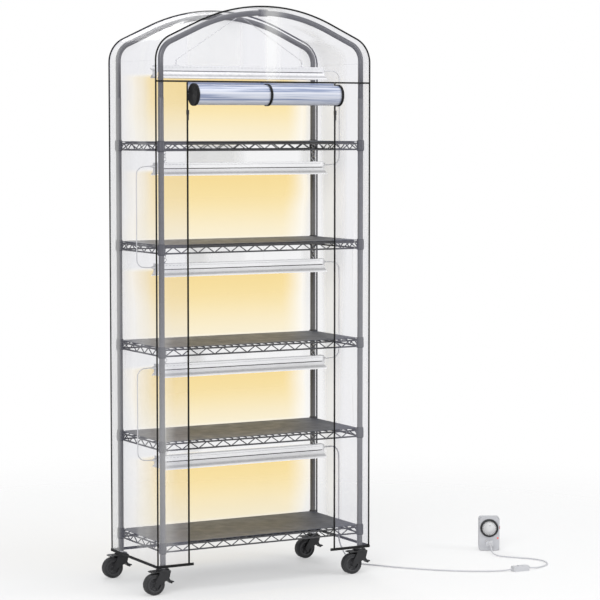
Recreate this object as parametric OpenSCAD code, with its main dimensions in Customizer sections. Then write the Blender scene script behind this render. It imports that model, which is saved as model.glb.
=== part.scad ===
// Five-tier wire shelving rack on braked castors, with an arched clear cover,
// a hanging grow light over each tier, and a lead with a switch and a timer.
// Millimetres, +Z up, +X to the right along the front, the front faces -Y.
// The origin is on the floor, midway between the four posts.

/* [Frame] */
// Post centre to post centre along the front
span_x = 725; // [600:5:900]
// Post centre to post centre, front to back
span_y = 320; // [300:5:450]
// Outer radius of a post
post_r = 9; // [9:0.5:10]
// Lower end of each post above the floor
post_bottom = 88; // [88:1:100]
// Upper end of each grooved post, where the hoop starts
post_top = 1575; // [1560:5:1590]
// Spacing of the grooves round a post
groove_pitch = 25; // [20:1:30]
// Height of each shelf's collar centres above the floor
shelf_z = [147.5, 472.5, 772.5, 1097.5, 1422.5];

/* [Hoops] */
// Outer radius of the hoop tube
hoop_r = 8.5; // [8.2:0.1:8.8]
// Height of the hoop centreline at mid-span
apex_z = 1846; // [1840:1:1870]
// Radius of the broad arc over the top
arch_r = 560; // [540:5:600]
// Slope of the straight stretch beside the arc, in degrees
slope = 24.8; // [22:0.2:27]
// Centreline radius of each shoulder bend
bend_r = 60; // [50:1:70]

/* [Shelves] */
// Radius of the collar at its lower edge
collar_r = 12.5; // [12.2:0.1:12.8]
// Height of a collar
collar_h = 31; // [26:1:34]
// Radius of the rim wires
rim_r = 2.6; // [2:0.1:3]
// Height of the upper rim wire over the collar centre
rim_up = 6.5; // [5:0.5:8]
// Height of the lower rim wire below the collar centre
rim_down = 13.5; // [11:0.5:14]
// Radius of the zigzag wire between the rims
zigzag_r = 1.7; // [1.2:0.1:2]
// Radius of the wires that run front to back
deck_r = 1.6; // [1.2:0.1:2]
// Spacing of the wires that run front to back
deck_pitch = 25; // [20:1:30]
// Thickness of the shelf mat
mat_t = 2; // [1.5:0.5:3]

/* [Castors] */
// Radius of the wheel
wheel_r = 34; // [34:1:34]
// Width of the tread
tyre_w = 25; // [22:1:26]
// How far the wheel trails behind the stem
trail = 32; // [30:1:33]
// Radius of the axle
axle_r = 4; // [3:0.5:5]

/* [Lights] */
// Length of a light's housing
lamp_l = 608; // [500:2:640]
// Top of each lower light below the collar centres of the shelf above it
lamp_drop = 55; // [50:1:60]
// Top of the highest light above the floor
top_lamp_z = 1680; // [1670:1:1690]
// Diameter of the cable between two lights
link_d = 3.2; // [3:0.1:3.6]
// Diameter of the power cord
cord_d = 5; // [4.6:0.1:5.4]

/* [Cover] */
// Distance from the posts' centreline to the middle of the side film
side_gap = 25; // [22:1:27]
// Distance from the hoop centreline to the middle of the roof film
roof_gap = 20; // [18:1:24]
// Thickness of the film's solid
film = 1.2; // [1:0.1:1.5]
// Inner face of the front and rear film from the middle of the rack
cover_y = 173; // [173:0.5:178]
// Lower edge of the film above the floor
hem_z = 86; // [86:1:100]
// Height of the seam that the door hangs from
seam_z = 1626; // [1620:1:1632]
// Half width of the door opening
door_x = 264; // [250:1:270]
// Middle of the door from the middle of the rack
door_mid = -10; // [-14:1:14]
// Radius of the black piping
pipe_r = 2.2; // [1.8:0.1:2.4]
// Radius of the rolled-up door
roll_r = 34; // [32:0.5:36]
// Length of the rolled-up door
roll_l = 528; // [520:2:536]
// Height of the roll's centre
roll_z = 1584; // [1580:0.5:1587]

/* [Timer] */
// Width of the timer's case
timer_w = 72; // [70:1:76]
// Height of the timer's case
timer_h = 118; // [116:1:122]
// Depth of the timer's case
timer_d = 42; // [40:1:46]
// Radius of the dial's knurled ring
dial_r = 31; // [29:0.5:32]

/* [Hidden] */
$fn = 40;

CORNERS = [
    ["front_left", [-span_x / 2, -span_y / 2]],
    ["front_right", [span_x / 2, -span_y / 2]],
    ["rear_left", [-span_x / 2, span_y / 2]],
    ["rear_right", [span_x / 2, span_y / 2]],
];
TIERS = [0, 1, 2, 3, 4];

// Hoop: centre of the broad arc, seen along Y, and the length that each leg goes into its post
arch_c = [0, apex_z - arch_r];
spigot_l = 45;

// Shelf
post_wall = 1;
sleeve_low = post_r + 2.2;
sleeve_high = post_r + 1.4;
sleeve_gap = 0.1;
rim_end = collar_r - 1;
deck_z = rim_up + rim_r + deck_r - 0.5;
mat_z = deck_z + deck_r + 0.1;
brace_r = rim_r - 0.5;
zigzag_pitch = 29;

// Castor
hub_r = 25.5;
fork_in = 14.6;
fork_out = 18;
axle_z = wheel_r;
brake_pin = [8, 60];
brake_pin_r = 1.95;
run_gap = 0.05;
ink = "#1c1c1e";

// Lights
lamp_z = [
    for (i = [0:4]) i < 4 ? shelf_z[i + 1] - lamp_drop : top_lamp_z
];
channel_w = 28;
channel_h = 21;
cap_t = 4;
plug_l = 15;
outlet_z = -11;
outlet_x = lamp_l / 2 + cap_t + plug_l;
cable_x = 374;
hook_x = 275;
wire_x = 231;

// Cover
face_y = cover_y + film;
pipe_y = face_y + pipe_r;
side_x = span_x / 2 + side_gap;
zip_w = 6;
zip_t = 2;
roll_y = -face_y - zip_t - roll_r - 3.8;
roll_left = door_mid - roll_l / 2 - 4;
tie_w = 9;
slider_z = 1530;

// Timer, switch and cord
timer_at = [960, -40];
timer_turn = -29;
dial_z = 80;
socket_z = 28;
switch_at = [850, -392];
switch_turn = -4;
switch_h = 17;
rocker_pin_r = 1.2;

// Route of the power cord, from the lowest light down the right side and over the floor
cord_route = [
    [323, 0, 406.5], [336, 0, 406.5], [352, 0, 405], [366, 0, 396], [373, 0, 378],
    [374, 0, 350], [374, 0, 270], [374, 0, 190], [374, 0, 120], [375, 0, 90],
    [381, -2, 66], [392, -7, 40], [408, -18, 15], [434, -42, 4], [470, -90, 3],
    [525, -170, 3], [600, -255, 3], [690, -330, 3], [775, -376, 4], [818, -390, 8],
    [850, -392, 8.5], [882, -394, 8], [925, -390, 4], [985, -355, 3], [1010, -300, 3],
    [995, -245, 3], [955, -195, 3], [925, -150, 4], [920, -122, 11], [930, -98, 22],
    [937, -82, 27], [943, -71, 28],
];

// Smooth curve through a list of points, n steps to a stretch
function bez(a, b, c, d, t) =
    0.5 * (2 * b + (c - a) * t + (2 * a - 5 * b + 4 * c - d) * t * t
    + (3 * b - a - 3 * c + d) * t * t * t);
function pick(p, i) = p[max(0, min(len(p) - 1, i))];
function smooth(p, n) = concat(
    [for (i = [0:len(p) - 2]) for (j = [0:n - 1])
        bez(pick(p, i - 1), p[i], p[i + 1], pick(p, i + 2), j / n)],
    [p[len(p) - 1]]
);
function unit(v) = v / norm(v);
function heading(p, i) = unit(pick(p, i + 1) - pick(p, i - 1));

// Sides of a ring that never turn about the path, for a path that is never along the axis v
function ring(p, i, r, sides, v) =
    let (t = heading(p, i), a = unit(cross(t, v)), b = cross(t, a), size = is_list(r) ? r[i] : r)
    [for (k = [0:sides - 1]) p[i] + size * (a * cos(360 * k / sides) + b * sin(360 * k / sides))];

// Closed rod along the path p, with one radius or a list of them
module swept(p, r, sides, v) {
    rings = [for (i = [0:len(p) - 1]) each ring(p, i, r, sides, v)];
    last = (len(p) - 1) * sides;
    faces = concat(
        [[for (k = [0:sides - 1]) k]],
        [for (i = [0:len(p) - 2]) for (k = [0:sides - 1])
            let (a = i * sides + k, b = i * sides + (k + 1) % sides)
            [a, a + sides, b + sides, b]],
        [[for (k = [sides - 1:-1:0]) last + k]]
    );
    polyhedron(rings, faces);
}

// Cylinder from one point to another
module rod(a, b, r) {
    d = b - a;
    translate(a)
        rotate([0, acos(d[2] / norm(d)), atan2(d[1], d[0])])
            cylinder(r = r, h = norm(d));
}

// Drawing made in the XZ plane and given a depth, centred on y
module profile_y(y, depth) {
    translate([0, y + depth / 2, 0]) rotate([90, 0, 0]) linear_extrude(depth) children();
}

// Rectangle with round corners
module rounded(w, h, r) {
    square([w - 2 * r, h], center = true);
    square([w, h - 2 * r], center = true);
    for (x = [-1, 1], y = [-1, 1]) translate([x * (w / 2 - r), y * (h / 2 - r)]) circle(r);
}

// ---------- Frame ----------

module post(at) {
    grooves = floor((post_top - post_bottom) / groove_pitch - 0.5);
    edge = [
        for (i = [0:grooves]) let (z = post_bottom + groove_pitch * (i + 0.5))
            each [[post_r, z - 1], [post_r - 0.5, z], [post_r, z + 1]]
    ];
    color("#7b7b7d") translate([at[0], at[1], 0]) rotate_extrude()
        polygon(concat(
            [[post_r - post_wall, post_bottom], [post_r, post_bottom]], edge,
            [[post_r, post_top], [post_r - post_wall, post_top]]
        ));
}

// Points over the top from right to left, so far outside the hoop centreline at the side and roof
function dir(a) = [cos(a), sin(a)];
function over_top(side, roof) =
    let (
        half = span_x / 2 + side,
        bend = bend_r + side,
        arc = [for (a = [0:12])
            arch_c + (arch_r + roof) * dir(90 - slope + a / 12 * 2 * slope)],
        corner = arc[0][1] - (half - arc[0][0]) * tan(slope),
        bend_c = [half - bend, corner - bend * tan(45 - slope / 2)],
        shoulder = [for (a = [0:6]) bend_c + bend * dir(a / 6 * (90 - slope))]
    )
    concat(shoulder, arc, [for (p = reversed(shoulder)) [-p[0], p[1]]]);
function reversed(p) = [for (i = [len(p) - 1:-1:0]) p[i]];
function in_plane(p, y) = [for (q = p) [q[0], y, q[1]]];

// Each leg ends in a spigot inside its post, and its shoulder rests on the post's top
module hoop(y) {
    spigot_r = post_r - post_wall - 0.1;
    right = [[span_x / 2, post_top - spigot_l], [span_x / 2, post_top], [span_x / 2, post_top]];
    left = [for (q = reversed(right)) [-q[0], q[1]]];
    path = concat(right, over_top(0, 0), left);
    radii = [for (i = [0:len(path) - 1]) i < 2 || i > len(path) - 3 ? spigot_r : hoop_r];
    color("#77777a") swept(in_plane(path, y), radii, 16, [0, 1, 0]);
}

module ridge_tube() {
    clip_r = hoop_r + 3;
    color("#77777a") difference() {
        union() {
            translate([0, -span_y / 2, apex_z]) rotate([-90, 0, 0]) cylinder(r = 7, h = span_y);
            for (y = [-1, 1]) translate([-14, y * span_y / 2, apex_z]) rotate([0, 90, 0])
                cylinder(r = clip_r, h = 28);
        }
        for (y = [-1, 1]) translate([-20, y * span_y / 2, apex_z]) rotate([0, 90, 0])
            cylinder(r = hoop_r + 0.25, h = 40);
    }
}

// ---------- Shelves ----------

module collar() {
    low = sleeve_low + sleeve_gap;
    high = sleeve_high + sleeve_gap;
    rotate_extrude() polygon([
        [low, -collar_h / 2], [collar_r, -collar_h / 2], [collar_r, -collar_h / 2 + 5],
        [collar_r - 0.6, collar_h / 2 - 1], [collar_r - 1.2, collar_h / 2], [high, collar_h / 2],
    ]);
}

// One side of the rim: two wires and the zigzag that joins them
module rim(length) {
    half = length / 2 - rim_end;
    steps = 2 * round(half / zigzag_pitch);
    pitch = 2 * half / steps;
    rod([-half, 0, rim_up], [half, 0, rim_up], rim_r);
    rod([-half, 0, -rim_down], [half, 0, -rim_down], rim_r);
    for (i = [0:steps - 1]) {
        x = -half + i * pitch;
        up = i % 2 == 0;
        rod([x, 0, up ? -rim_down : rim_up], [x + pitch, 0, up ? rim_up : -rim_down], zigzag_r);
    }
}

module shelf(z) {
    wires = round(span_x / deck_pitch) - 1;
    brace_z = rim_up - 0.1;
    color("#5c5c5f") translate([0, 0, z]) {
        for (c = CORNERS) translate([c[1][0], c[1][1], 0]) collar();
        for (s = [-1, 1]) {
            translate([0, s * span_y / 2, 0]) rim(span_x);
            translate([s * span_x / 2, 0, 0]) rotate([0, 0, 90]) rim(span_y);
        }
        for (i = [-1:1]) rod([-span_x / 2, i * span_y / 4, brace_z],
            [span_x / 2, i * span_y / 4, brace_z], brace_r);
        for (i = [0:wires - 1]) let (x = (i - (wires - 1) / 2) * deck_pitch)
            rod([x, -span_y / 2 - deck_r, deck_z], [x, span_y / 2 + deck_r, deck_z], deck_r);
    }
}

module shelf_mats() {
    notch = collar_r + 3;
    color("#3f4042") for (i = TIERS) translate([0, 0, shelf_z[i] + mat_z])
        linear_extrude(mat_t) difference() {
            rounded(span_x - 4, span_y - 4, 6);
            for (c = CORNERS) translate(c[1]) circle(notch);
        }
}

module collar_sleeves() {
    h = collar_h / 2;
    color("#26262a") for (i = TIERS, c = CORNERS) translate([c[1][0], c[1][1], shelf_z[i]])
        difference() {
            rotate_extrude() polygon([
                [post_r + 0.1, -h - 3], [sleeve_low, -h - 3], [sleeve_low, -h],
                [sleeve_high, h], [sleeve_high, h + 1.5], [post_r + 0.1, h + 1.5],
            ]);
            for (s = [0, 1]) rotate([0, 0, 180 * s]) translate([0, -0.6, -30])
                cube([20, 1.2, 60]);
        }
}

// ---------- Castors, drawn with the stem on the Z axis and trailing to -X ----------

module castor_stems() {
    color("#c9c9cc") for (c = CORNERS) translate([c[1][0], c[1][1], 0]) {
        translate([0, 0, 69.5]) cylinder(r = 8, h = 3.5);
        translate([0, 0, 69.5]) cylinder(r = 5.4, h = 24);
        translate([0, 0, 82.3]) cylinder(r = 9, h = post_bottom - 82.3);
        translate([0, 0, post_bottom]) cylinder(r = post_r - post_wall - 0.1, h = 28);
    }
}

module fork(at) {
    color(ink) translate([at[0], at[1], 0]) difference() {
        union() {
            translate([0, 0, 73.3]) cylinder(r = 21, h = 6.2);
            translate([0, 0, 79.5]) cylinder(r1 = 21, r2 = 18, h = 2.5);
            for (y = [-1, 1]) profile_y(y * (fork_in + fork_out) / 2, fork_out - fork_in) {
                polygon([
                    [-trail - 8, axle_z + 2], [-trail + 8, axle_z - 3], [6, 47], [15, 55],
                    [20, 74], [19, 78], [-17, 78], [-21, 66],
                ]);
                translate([-trail, axle_z]) circle(8.5);
            }
            // Guard over the wheel, and the rib across the front
            profile_y(0, 2 * fork_out) polygon([
                [-45, 74.5], [-38, 76.5], [-16, 76.5], [-16, 73.5], [-38, 73.5], [-44, 71.5],
            ]);
            profile_y(0, 2 * fork_out) polygon([[15, 68], [18.5, 68], [19.5, 75], [15, 75]]);
            // Riveted axle and the brake's pin
            translate([-trail, -fork_out - 1.5, axle_z]) rotate([-90, 0, 0])
                cylinder(r = axle_r, h = 2 * fork_out + 3);
            for (y = [-1, 1]) translate([-trail, y * (fork_out + 1) - 1, axle_z])
                rotate([-90, 0, 0]) cylinder(r = axle_r + 2, h = 2);
            translate([brake_pin[0], -fork_out, brake_pin[1]]) rotate([-90, 0, 0])
                cylinder(r = brake_pin_r, h = 2 * fork_out);
        }
        translate([0, 0, 50]) cylinder(r = 5.4 + run_gap, h = 40);
    }
}

module at_wheel(at) {
    translate([at[0] - trail, at[1], axle_z]) rotate([-90, 0, 0]) children();
}

module hub(at) {
    w = tyre_w / 2;
    color("#2a2a2d") at_wheel(at) rotate_extrude($fn = 64) polygon([
        [axle_r + run_gap, -14.3], [9, -14.3], [9, -6], [19, -5], [22, -w + 1], [hub_r, -w + 1],
        [hub_r, w - 1], [22, w - 1], [19, 5], [9, 6], [9, 14.3], [axle_r + run_gap, 14.3],
    ]);
}

module tyre(at) {
    w = tyre_w / 2;
    color("#151517") at_wheel(at) rotate_extrude($fn = 64) polygon([
        [hub_r + 0.05, -w], [wheel_r - 3, -w], [wheel_r - 1, -w + 1.2], [wheel_r, -w + 4],
        [wheel_r, w - 4], [wheel_r - 1, w - 1.2], [wheel_r - 3, w], [hub_r + 0.05, w],
    ]);
}

module brake(at) {
    px = brake_pin[0];
    pz = brake_pin[1];
    w = 2 * fork_in - 2;
    color(ink) translate([at[0], at[1], 0]) difference() {
        union() {
            profile_y(0, w) {
                translate([px, pz]) circle(4.6);
                polygon([[px - 3, pz - 3], [px + 4, pz + 2], [21, 44], [15, 41]]);
                polygon([[px - 4.4, pz - 1], [px - 5.9, pz - 4.6], [px - 1, pz - 4.6]]);
            }
            profile_y(0, w) polygon([
                [15, 41], [16.5, 38], [30, 37], [33, 38], [33, 41], [30, 41.5], [21, 44],
            ]);
            translate([26, 0, 36]) rotate([90, 0, 0]) cylinder(r = 3, h = w - 6, center = true);
        }
        translate([px, 0, pz]) rotate([90, 0, 0])
            cylinder(r = brake_pin_r + run_gap, h = 60, center = true);
    }
}

// ---------- Lights ----------

// Drawing made in the YZ plane and given a length along X, centred on x
module profile_x(x, length) {
    translate([x - length / 2, 0, 0]) rotate([90, 0, 90]) linear_extrude(length) children();
}

module lamp(top) {
    c = channel_w / 2;
    color("#f2f2f2") translate([0, 0, top]) profile_x(0, lamp_l) {
        difference() {
            translate([-c, -channel_h]) square([channel_w, channel_h]);
            translate([-c + 1.2, -channel_h - 1]) square([channel_w - 2.4, channel_h - 0.2]);
        }
        for (s = [0, 1]) mirror([s, 0]) polygon([
            [c - 0.6, -channel_h], [c + 1, -channel_h + 1.4], [42, -39.3], [42.6, -41],
            [41.2, -41], [40.6, -40.2],
        ]);
    }
}

module lamp_diffusers() {
    w = channel_w - 2.8;
    color("#fff6d8") for (i = TIERS) translate([0, 0, lamp_z[i]]) profile_x(0, lamp_l - 2) {
        translate([-w / 2, -26]) square([w, 14]);
        translate([0, -26]) intersection() {
            circle(w / 2);
            translate([-w, -w]) square([2 * w, w]);
        }
    }
}

module lamp_end_caps() {
    color("#ececec") for (i = TIERS, s = [-1, 1]) translate([s * lamp_l / 2, 0, lamp_z[i]]) {
        profile_x(s * cap_t / 2, cap_t) translate([-15.5, -37]) square([31, 37.6]);
        translate([0, 0, outlet_z]) rotate([0, s * 90, 0]) {
            translate([0, 0, cap_t]) cylinder(r = 5, h = 9);
            translate([0, 0, cap_t + 9]) cylinder(r1 = 4.4, r2 = 2.6, h = plug_l - 9);
        }
    }
}

module link(z, turn) {
    translate([0, 0, z]) rotate([90, 0, turn]) rotate_extrude($fn = 24)
        translate([6, 0]) circle(0.9, $fn = 16);
}

module bracket(stud_h) {
    translate([-6.5, -6.5, 0.05]) cube([13, 13, 1.2]);
    translate([0, 0, 1]) cylinder(r = 1.6, h = stud_h);
}

module lamp_hangers() {
    color("#b9babd") {
        // Lower lights: a chain of five links from the bracket to a ring round the middle brace
        for (i = [0:3], s = [-1, 1]) translate([s * hook_x, 0, lamp_z[i]]) {
            bracket(4.2);
            for (k = [0:4]) link(12.2 + k * 10, k % 2 * 90);
            translate([0, 0, lamp_drop + rim_up - 1.1]) rotate([0, 90, 0])
                rotate_extrude($fn = 24) translate([4.15, 0]) circle(0.9, $fn = 16);
        }
        // Highest light: a bracket and a wire to the ridge at each side
        for (s = [-1, 1]) translate([s * wire_x, 0, lamp_z[4]]) {
            bracket(17);
            rod([0, 0, 18.5], [s * -(wire_x - 12), 0, apex_z - lamp_z[4] - 9], 0.8);
        }
    }
}

// Route of the cable from one light's end to the next light's end below it
function link_route(s, top, low) = [
    [s * outlet_x, 0, top], [s * (outlet_x + 14), 0, top], [s * (cable_x - 16), 0, top - 3],
    [s * (cable_x - 4), 0, top - 14], [s * cable_x, 0, top - 34],
    [s * cable_x, 0, (top + low) / 2],
    [s * cable_x, 0, low + 34], [s * (cable_x - 4), 0, low + 14],
    [s * (cable_x - 16), 0, low + 3], [s * (outlet_x + 14), 0, low], [s * outlet_x, 0, low],
];

module link_cables() {
    color("#e6e6e6") for (i = [0:3])
        swept(smooth(link_route(i % 2 == 0 ? -1 : 1, lamp_z[i + 1] + outlet_z,
            lamp_z[i] + outlet_z), 2), link_d / 2, 8, [0, 1, 0]);
}

// ---------- Power cord, switch and timer ----------

module power_cord() {
    color("#dedee0") swept(smooth(cord_route, 2), cord_d / 2, 10, [1, 1, 0.2]);
}

module at_switch() {
    translate([switch_at[0], switch_at[1], 0]) rotate([0, 0, switch_turn]) children();
}

module switch_body() {
    color("#e9e9ea") at_switch() difference() {
        union() {
            linear_extrude(switch_h - 1) rounded(60, 25, 3);
            translate([0, 0, switch_h - 1]) linear_extrude(1) rounded(58, 23, 2.5);
        }
        translate([-9, -6.5, switch_h - 6]) cube([18, 13, 10]);
        rocker_pin(rocker_pin_r + run_gap, 17);
    }
}

module rocker_pin(r, length) {
    translate([0, 0, switch_h - 4.5]) rotate([90, 0, 0]) cylinder(r = r, h = length, center = true);
}

module switch_rocker() {
    color("#f6f6f6") at_switch() {
        profile_y(0, 12) polygon([
            [-8, switch_h - 4.5], [0, switch_h - 5.5], [8, switch_h - 2.5], [8, switch_h - 0.4],
            [0, switch_h + 0.4], [-8, switch_h + 2.4],
        ]);
        rocker_pin(rocker_pin_r, 16.4);
    }
}

// The timer's own frame: front face at y = 0, depth towards +Y, standing on z = 0
module at_timer() {
    translate([timer_at[0], timer_at[1], 0]) rotate([0, 0, timer_turn]) children();
}

module timer_body() {
    color("#eeeef0") at_timer() difference() {
        union() {
            profile_y(timer_d / 2 + 1, timer_d - 2) translate([0, timer_h / 2])
                rounded(timer_w, timer_h, 9);
            profile_y(1, 2) translate([0, timer_h / 2]) rounded(timer_w - 3, timer_h - 3, 8);
        }
        translate([0, 4, dial_z]) rotate([90, 0, 0]) cylinder(r = dial_r + 0.6, h = 10, $fn = 64);
        for (x = [-6.4, 6.4]) translate([x - 0.9, -1, socket_z - 3.5]) cube([1.8, 21, 7]);
        translate([timer_w / 2 - 3, 12, dial_z - 12]) cube([10, 8, 24]);
    }
}

module timer_dial() {
    color("#2b2b2e") at_timer() translate([0, 3.7, dial_z]) rotate([90, 0, 0])
        rotate_extrude($fn = 64) polygon([
            [0, 0], [dial_r, 0], [dial_r, 8], [dial_r - 3, 10], [dial_r - 5, 8.5],
            [14, 7.5], [13, 9.5], [0, 9.5],
        ]);
}

module timer_slide() {
    color("#d33a34") at_timer() translate([timer_w / 2 - 2.6, 12.3, dial_z - 6])
        cube([5.2, 7.4, 10]);
}

module timer_light() {
    color("#ff1e1e") at_timer() translate([timer_w / 2 - 6, 0, 45]) rotate([90, 0, 0])
        cylinder(r = 2.4, h = 1.4, $fn = 24);
}

module timer_pins() {
    color("#c8c2a8") at_timer() {
        for (x = [-6.4, 6.4]) translate([x - 0.75, timer_d, socket_z - 3.2]) cube([1.5, 18, 6.4]);
        translate([0, timer_d, socket_z - 12]) rotate([-90, 0, 0]) cylinder(r = 2.4, h = 20);
    }
}

module plug() {
    color("#e4e4e6") at_timer() {
        for (x = [-6.4, 6.4]) translate([x - 0.75, -1, socket_z - 3.2]) cube([1.5, 17, 6.4]);
        translate([0, -20, socket_z]) rotate([-90, 0, 0]) linear_extrude(19.9) rounded(26, 18, 4);
        translate([0, -34, socket_z]) rotate([-90, 0, 0]) cylinder(r1 = 3.6, r2 = 6, h = 14);
    }
}

// ---------- Cover ----------

// Points over the top, so far outside the middle of the film
function film_line(out) = over_top(side_gap + out, roof_gap + out);

module end_outline() {
    x = side_x + film / 2;
    polygon(concat([[x, hem_z]], film_line(film / 2), [[-x, hem_z]]));
}

module cover_side(s) {
    color("#e8eaf4", 0.3) translate([s * side_x - film / 2, -cover_y, hem_z])
        cube([film, 2 * cover_y, film_line(0)[0][1] - hem_z]);
}

module cover_roof() {
    color("#e8eaf4", 0.3) profile_y(0, 2 * cover_y) polygon(concat(
        film_line(film / 2), reversed(film_line(-film / 2))
    ));
}

module cover_back() {
    color("#e8eaf4", 0.3) profile_y(cover_y + film / 2, film) end_outline();
}

module cover_front() {
    color("#e8eaf4", 0.3) profile_y(-cover_y - film / 2, film) difference() {
        end_outline();
        translate([door_mid - door_x, 0]) square([2 * door_x, seam_z]);
    }
}

module cover_piping() {
    z = hem_z + pipe_r;
    clear = pipe_r + 0.2;
    hem_end = door_x - 12;
    hem_x = side_x + film / 2 + pipe_r;
    outline = concat([[side_x, hem_z]], film_line(0), [[-side_x, hem_z]]);
    color("#101012") {
        for (s = [-1, 1]) {
            swept(in_plane(outline, s * pipe_y), pipe_r, 8, [0, 1, 0]);
            rod([door_mid + s * hem_end, -pipe_y, z], [s * (side_x - clear), -pipe_y, z], pipe_r);
            rod([s * hem_x, -pipe_y + clear, z], [s * hem_x, pipe_y - clear, z], pipe_r);
        }
        rod([clear - side_x, -pipe_y, seam_z], [side_x - clear, -pipe_y, seam_z], pipe_r);
        rod([clear - side_x, pipe_y, z], [side_x - clear, pipe_y, z], pipe_r);
    }
}

module zips() {
    color("#18181a") for (s = [-1, 1])
        translate([door_mid + s * (door_x + zip_w / 2) - zip_w / 2, -face_y - zip_t, hem_z + 5])
            cube([zip_w, zip_t, seam_z - hem_z - 8]);
}

module zip_slider(s) {
    gap = 0.4;
    w = zip_w + 2 * gap + 2;
    color("#303034") translate([door_mid + s * (door_x + zip_w / 2), -face_y, slider_z]) {
        difference() {
            translate([-w / 2, -zip_t - gap - 2, -8]) cube([w, zip_t + 2, 14]);
            translate([-zip_w / 2 - gap, -zip_t - gap, -20]) cube([zip_w + 2 * gap, 9, 40]);
        }
        translate([-2.5, -zip_t - gap - 3.4, -26]) cube([5, 1.2, 24]);
        translate([-2.5, -zip_t - gap - 3.4, -4]) cube([5, 2, 3]);
    }
}

module door_roll() {
    color("#cfd6e6", 0.7) translate([roll_left, roll_y, roll_z]) rotate([0, 90, 0])
        cylinder(r = roll_r, h = roll_l, $fn = 48);
}

module door_ties() {
    color("#101012") for (x = [0, roll_l / 2 - tie_w / 2, roll_l - tie_w])
        translate([roll_left + x, roll_y, roll_z]) {
            rotate([0, 90, 0]) difference() {
                cylinder(r = roll_r + 1.4, h = tie_w, $fn = 48);
                translate([0, 0, -1]) cylinder(r = roll_r + 0.1, h = tie_w + 2, $fn = 48);
            }
            translate([0, roll_r + 0.1, 0]) cube([tie_w, 1.3, seam_z - roll_z]);
        }
}

// ---------- What is drawn ----------

for (c = CORNERS) {
    post(c[1]);
    fork(c[1]);
    hub(c[1]);
    tyre(c[1]);
    brake(c[1]);
}
for (i = TIERS) {
    shelf(shelf_z[i]);
    lamp(lamp_z[i]);
}
hoop(-span_y / 2);  // hoop_front
hoop(span_y / 2);  // hoop_rear
ridge_tube();
shelf_mats();
collar_sleeves();
castor_stems();
lamp_diffusers();
lamp_end_caps();
lamp_hangers();
link_cables();
power_cord();
switch_body();
switch_rocker();
plug();
timer_body();
timer_dial();
timer_slide();
timer_light();
timer_pins();
cover_side(-1);  // cover_left
cover_side(1);  // cover_right
cover_roof();
cover_back();
cover_front();
cover_piping();
zips();
zip_slider(-1);  // zip_slider_left
zip_slider(1);  // zip_slider_right
door_roll();
door_ties();
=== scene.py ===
import math

import bmesh
import bpy
from mathutils import Matrix, Vector, noise


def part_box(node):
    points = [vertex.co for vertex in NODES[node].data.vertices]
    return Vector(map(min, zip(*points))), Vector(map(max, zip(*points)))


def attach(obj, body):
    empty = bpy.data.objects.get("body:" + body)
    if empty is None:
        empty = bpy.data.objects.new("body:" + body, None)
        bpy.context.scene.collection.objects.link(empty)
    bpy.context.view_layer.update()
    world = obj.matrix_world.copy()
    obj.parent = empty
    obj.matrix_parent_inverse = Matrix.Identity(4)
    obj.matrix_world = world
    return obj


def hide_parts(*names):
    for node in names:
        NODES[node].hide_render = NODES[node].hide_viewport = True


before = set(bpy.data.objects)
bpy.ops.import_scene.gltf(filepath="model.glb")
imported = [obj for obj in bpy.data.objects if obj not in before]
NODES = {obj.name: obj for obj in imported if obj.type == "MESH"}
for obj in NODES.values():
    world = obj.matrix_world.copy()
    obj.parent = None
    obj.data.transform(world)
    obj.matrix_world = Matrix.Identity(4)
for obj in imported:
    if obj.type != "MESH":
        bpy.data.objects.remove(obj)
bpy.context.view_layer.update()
CORNERS = ("front_left", "front_right", "rear_left", "rear_right")
TIERS = range(1, 6)
scene = bpy.context.scene


# ---------- Sizes and places, in metres ----------

def centre(node):
    """The middle of a CAD node's box."""
    low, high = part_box(node)
    return (low + high) / 2


POST = {c: centre("post_" + c) for c in CORNERS}
SPAN_X = POST["front_right"].x - POST["front_left"].x
SPAN_Y = POST["rear_left"].y - POST["front_left"].y
POST_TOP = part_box("post_front_left")[1].z
SHELF_TOP = [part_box(f"shelf_{i}")[1].z for i in TIERS]

# Hoops: tube radius, the centreline's top, arch radius, half the arch's angle, shoulder bend
HOOP_R = 0.0085
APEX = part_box("hoop_front")[1].z - HOOP_R
ARCH_R = 0.560
SLOPE = math.radians(24.8)
BEND_R = 0.060

# Cover: side faces, half depth, hem, front and back faces, and its gaps to the hoops' centreline
SIDE_X = centre("cover_right").x
HALF_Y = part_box("cover_right")[1].y
HEM_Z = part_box("cover_right")[0].z
FACE_Y = centre("cover_back").y
SIDE_GAP = SIDE_X - SPAN_X / 2
ROOF_GAP = 0.020
RIPPLE = 0.0022

# Hem and binding radii, zip tape's width, and the seam that the door hangs from
PIPE_R = 0.0022
PIPE_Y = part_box("cover_piping")[1].y - PIPE_R
BINDING_R = 0.0027
ZIP_W = 0.006
SEAM_Z = 1.626

# Door opening's middle and half width, and the rolled door
DOOR_MID = -0.010
DOOR_X = 0.264
ROLL = centre("door_roll")
ROLL_R = (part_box("door_roll")[1].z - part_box("door_roll")[0].z) / 2
TURN_PITCH = 0.0020

# Castors
WHEEL_R = centre("tyre_front_left").z
HUB_R = (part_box("hub_front_left")[1].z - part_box("hub_front_left")[0].z) / 2

# Lights, and the cable outlets in their end caps
LAMP_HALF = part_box("lamp_1")[1].x
LAMP_LOW = [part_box(f"lamp_{i}")[0].z for i in TIERS]
LAMP_TOP = [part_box(f"lamp_{i}")[1].z for i in TIERS]
OUTLET_X = LAMP_HALF + 0.019
OUTLET_DROP = 0.011
CABLE_X = 0.374

# Timer: its foot, its turn about Z, the dial's height and depth behind the front face, and
# the quarter hours in a day
TIMER = Vector((0.960, -0.040, 0))
TIMER_TURN = math.radians(-29)
DIAL_Z = 0.080
DIAL_SUNK = 0.0037
QUARTERS = 96


# ---------- Camera ----------

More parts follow.
